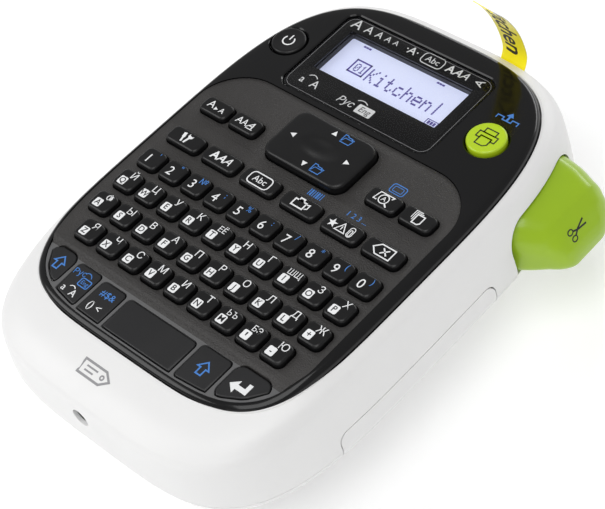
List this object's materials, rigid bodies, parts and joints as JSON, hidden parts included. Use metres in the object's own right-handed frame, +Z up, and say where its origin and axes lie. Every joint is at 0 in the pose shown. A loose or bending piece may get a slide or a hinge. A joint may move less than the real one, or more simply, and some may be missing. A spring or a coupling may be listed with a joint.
{
  "type": "label maker",
  "caption": "Handheld label maker with thumb keyboard, small display, tape printer, side cutter lever and a printed label leaving the top.",
  "frame": {"origin": "centre of the flat base under the case", "axes": "+X towards the cutter lever, +Y towards the display and tape end, +Z up out of the keys"},
  "size_m": [0.1193, 0.1524, 0.0726],
  "materials": {
    "white_case": "satin moulded",
    "panel_black": "polished",
    "deck_grey": "fine spark texture",
    "window_clear": "clear acrylic",
    "frame_black": "satin",
    "lcd_glass": "backlit display",
    "light_guide": "frosted",
    "mat_rubber": "silicone",
    "board_green": "solder mask",
    "screw_steel": "plated",
    "jack_black": "moulded",
    "cell_label": "shrink sleeve",
    "contact_spring": "nickel plated",
    "chassis_grey": "glass filled",
    "motor_steel": "plated can",
    "gear_brass": "machined",
    "gear_acetal": "acetal",
    "platen_rubber": "ground",
    "shaft_steel": "ground",
    "spool_grey": "moulded",
    "tape_yellow": "laminated label film",
    "cartridge_grey": "moulded",
    "head_ceramic": "glazed ceramic",
    "bracket_steel": "pressed",
    "lever_green": "satin gloss",
    "spring_steel": "spring wire",
    "blade_steel": "ground edge",
    "button_green": "satin gloss",
    "button_black": "satin",
    "key_black": "satin"
  },
  "bodies": {
    "case": {"top_case": "white_case", "bottom_case": "white_case", "front_bezel": "panel_black", "key_deck": "deck_grey", "display_window": "window_clear", "lcd_frame": "frame_black", "lcd_panel": "lcd_glass", "lcd_backlight": "light_guide", "keypad_mat": "mat_rubber", "main_board": "board_green", "case_screws": "screw_steel", "dc_jack": "jack_black", "battery_cells": "cell_label", "battery_contacts": "contact_spring", "print_chassis": "chassis_grey", "drive_motor": "motor_steel", "tape_cartridge": "cartridge_grey", "print_head": "head_ceramic", "head_bracket": "bracket_steel", "feed_tape": "tape_yellow", "label_tape": "tape_yellow", "lever_pin": "shaft_steel", "lever_spring": "spring_steel", "fixed_blade": "blade_steel"},
    "rear_cover": {"rear_cover": "white_case"},
    "cut_lever": {"cut_lever": "lever_green"},
    "cutter_blade": {"cutter_blade": "blade_steel"},
    "platen": {"platen_roller": "platen_rubber", "platen_shaft": "shaft_steel"},
    "idler": {"idler_gear": "gear_acetal"},
    "motor_pinion": {"motor_pinion": "gear_brass"},
    "ribbon_takeup": {"takeup_gear": "gear_acetal", "takeup_spool": "spool_grey"},
    "ribbon_supply": {"supply_spool": "spool_grey"},
    "tape_spool": {"tape_spool": "tape_yellow"},
    "power_button": {"power_button": "button_black"},
    "print_button": {"print_button": "button_green"},
    "nav_pivot": {"nav_pivot": "frame_black"},
    "nav_pad": {"nav_pad": "key_black"},
    "number_keys": {"number_keys": "key_black"},
    "upper_letter_keys": {"upper_letter_keys": "key_black"},
    "middle_letter_keys": {"middle_letter_keys": "key_black"},
    "lower_letter_keys": {"lower_letter_keys": "key_black"},
    "settings_key": {"settings_key": "key_black"},
    "style_key": {"style_key": "key_black"},
    "frame_key": {"frame_key": "key_black"},
    "length_key": {"length_key": "key_black"},
    "symbol_key": {"symbol_key": "key_black"},
    "backspace_key": {"backspace_key": "key_black"},
    "size_key": {"size_key": "key_black"},
    "width_key": {"width_key": "key_black"},
    "preview_key": {"preview_key": "key_black"},
    "copies_key": {"copies_key": "key_black"},
    "left_shift_key": {"left_shift_key": "key_black"},
    "language_key": {"language_key": "key_black"},
    "accent_key": {"accent_key": "key_black"},
    "space_key": {"space_key": "key_black"},
    "right_shift_key": {"right_shift_key": "key_black"},
    "enter_key": {"enter_key": "key_black"}
  },
  "joints": [
    {"name": "rear_cover_lift", "type": "slide", "parent": "case", "child": "rear_cover", "axis": [0, 0, -1], "range_m": [0, 0.045]},
    {"name": "lever_squeeze", "type": "hinge", "parent": "case", "child": "cut_lever", "pos_m": [0.043, 0.056, 0.03], "axis": [0, 0, -1], "range_deg": [0, 10], "stiffness_Nm_per_rad": 0.12, "springref_deg": -8.59},
    {"name": "blade_stroke", "type": "slide", "parent": "case", "child": "cutter_blade", "axis": [0, -0.7071, 0.7071], "range_m": [0, 0.0024]},
    {"name": "platen_turn", "type": "hinge", "parent": "case", "child": "platen", "pos_m": [0, 0.0606, 0.0303], "axis": [1, 0, 0], "continuous": true},
    {"name": "idler_turn", "type": "hinge", "parent": "case", "child": "idler", "pos_m": [0, 0.0516, 0.02595], "axis": [1, 0, 0], "continuous": true},
    {"name": "motor_turn", "type": "hinge", "parent": "case", "child": "motor_pinion", "pos_m": [0, 0.03918, 0.02979], "axis": [1, 0, 0], "continuous": true},
    {"name": "takeup_turn", "type": "hinge", "parent": "case", "child": "ribbon_takeup", "pos_m": [0, 0.04799, 0.0145], "axis": [1, 0, 0], "continuous": true},
    {"name": "supply_turn", "type": "hinge", "parent": "case", "child": "ribbon_supply", "pos_m": [0, 0.043, 0.0274], "axis": [1, 0, 0], "continuous": true},
    {"name": "tape_spool_turn", "type": "hinge", "parent": "case", "child": "tape_spool", "pos_m": [0, 0.0236, 0.0196], "axis": [1, 0, 0], "continuous": true},
    {"name": "power_press", "type": "slide", "parent": "case", "child": "power_button", "axis": [0, 0, -1], "range_m": [0, 0.0008], "stiffness_N_per_m": 400, "springref_m": -0.0005},
    {"name": "print_press", "type": "slide", "parent": "case", "child": "print_button", "axis": [0, 0, -1], "range_m": [0, 0.001], "stiffness_N_per_m": 400, "springref_m": -0.0005},
    {"name": "nav_tilt_updown", "type": "hinge", "parent": "case", "child": "nav_pivot", "pos_m": [-0.001, 0.0168, 0.0464], "axis": [1, 0, 0], "range_deg": [-3, 3], "stiffness_Nm_per_rad": 0.2},
    {"name": "nav_tilt_sideways", "type": "hinge", "parent": "nav_pivot", "child": "nav_pad", "pos_m": [-0.001, 0.0168, 0.0464], "axis": [0, 1, 0], "range_deg": [-2.5, 2.5], "stiffness_Nm_per_rad": 0.2},
    {"name": "number_press", "type": "slide", "parent": "case", "child": "number_keys", "axis": [0, 0, -1], "range_m": [0, 0.001], "stiffness_N_per_m": 1500, "springref_m": -0.0005},
    {"name": "upper_letter_press", "type": "slide", "parent": "case", "child": "upper_letter_keys", "axis": [0, 0, -1], "range_m": [0, 0.001], "stiffness_N_per_m": 1500, "springref_m": -0.0005},
    {"name": "middle_letter_press", "type": "slide", "parent": "case", "child": "middle_letter_keys", "axis": [0, 0, -1], "range_m": [0, 0.001], "stiffness_N_per_m": 1500, "springref_m": -0.0005},
    {"name": "lower_letter_press", "type": "slide", "parent": "case", "child": "lower_letter_keys", "axis": [0, 0, -1], "range_m": [0, 0.001], "stiffness_N_per_m": 1500, "springref_m": -0.0005},
    {"name": "settings_press", "type": "slide", "parent": "case", "child": "settings_key", "axis": [0, 0, -1], "range_m": [0, 0.001], "stiffness_N_per_m": 400, "springref_m": -0.0005},
    {"name": "style_press", "type": "slide", "parent": "case", "child": "style_key", "axis": [0, 0, -1], "range_m": [0, 0.001], "stiffness_N_per_m": 400, "springref_m": -0.0005},
    {"name": "frame_press", "type": "slide", "parent": "case", "child": "frame_key", "axis": [0, 0, -1], "range_m": [0, 0.001], "stiffness_N_per_m": 400, "springref_m": -0.0005},
    {"name": "length_press", "type": "slide", "parent": "case", "child": "length_key", "axis": [0, 0, -1], "range_m": [0, 0.001], "stiffness_N_per_m": 400, "springref_m": -0.0005},
    {"name": "symbol_press", "type": "slide", "parent": "case", "child": "symbol_key", "axis": [0, 0, -1], "range_m": [0, 0.001], "stiffness_N_per_m": 400, "springref_m": -0.0005},
    {"name": "backspace_press", "type": "slide", "parent": "case", "child": "backspace_key", "axis": [0, 0, -1], "range_m": [0, 0.001], "stiffness_N_per_m": 400, "springref_m": -0.0005},
    {"name": "size_press", "type": "slide", "parent": "case", "child": "size_key", "axis": [0, 0, -1], "range_m": [0, 0.001], "stiffness_N_per_m": 400, "springref_m": -0.0005},
    {"name": "width_press", "type": "slide", "parent": "case", "child": "width_key", "axis": [0, 0, -1], "range_m": [0, 0.001], "stiffness_N_per_m": 400, "springref_m": -0.0005},
    {"name": "preview_press", "type": "slide", "parent": "case", "child": "preview_key", "axis": [0, 0, -1], "range_m": [0, 0.001], "stiffness_N_per_m": 400, "springref_m": -0.0005},
    {"name": "copies_press", "type": "slide", "parent": "case", "child": "copies_key", "axis": [0, 0, -1], "range_m": [0, 0.001], "stiffness_N_per_m": 400, "springref_m": -0.0005},
    {"name": "left_shift_press", "type": "slide", "parent": "case", "child": "left_shift_key", "axis": [0, 0, -1], "range_m": [0, 0.001], "stiffness_N_per_m": 400, "springref_m": -0.0005},
    {"name": "language_press", "type": "slide", "parent": "case", "child": "language_key", "axis": [0, 0, -1], "range_m": [0, 0.001], "stiffness_N_per_m": 400, "springref_m": -0.0005},
    {"name": "accent_press", "type": "slide", "parent": "case", "child": "accent_key", "axis": [0, 0, -1], "range_m": [0, 0.001], "stiffness_N_per_m": 400, "springref_m": -0.0005},
    {"name": "space_press", "type": "slide", "parent": "case", "child": "space_key", "axis": [0, 0, -1], "range_m": [0, 0.001], "stiffness_N_per_m": 400, "springref_m": -0.0005},
    {"name": "right_shift_press", "type": "slide", "parent": "case", "child": "right_shift_key", "axis": [0, 0, -1], "range_m": [0, 0.001], "stiffness_N_per_m": 400, "springref_m": -0.0005},
    {"name": "enter_press", "type": "slide", "parent": "case", "child": "enter_key", "axis": [0, 0, -1], "range_m": [0, 0.001], "stiffness_N_per_m": 400, "springref_m": -0.0005}
  ],
  "couplings": [
    {"joint": "blade_stroke", "follows": "lever_squeeze", "m_per_rad": 0.012605},
    {"joint": "idler_turn", "follows": "platen_turn", "ratio": -1.5},
    {"joint": "motor_turn", "follows": "platen_turn", "ratio": 5},
    {"joint": "takeup_turn", "follows": "platen_turn", "ratio": 0.75},
    {"joint": "supply_turn", "follows": "platen_turn", "ratio": 0.7},
    {"joint": "tape_spool_turn", "follows": "platen_turn", "ratio": -0.2857}
  ]
}
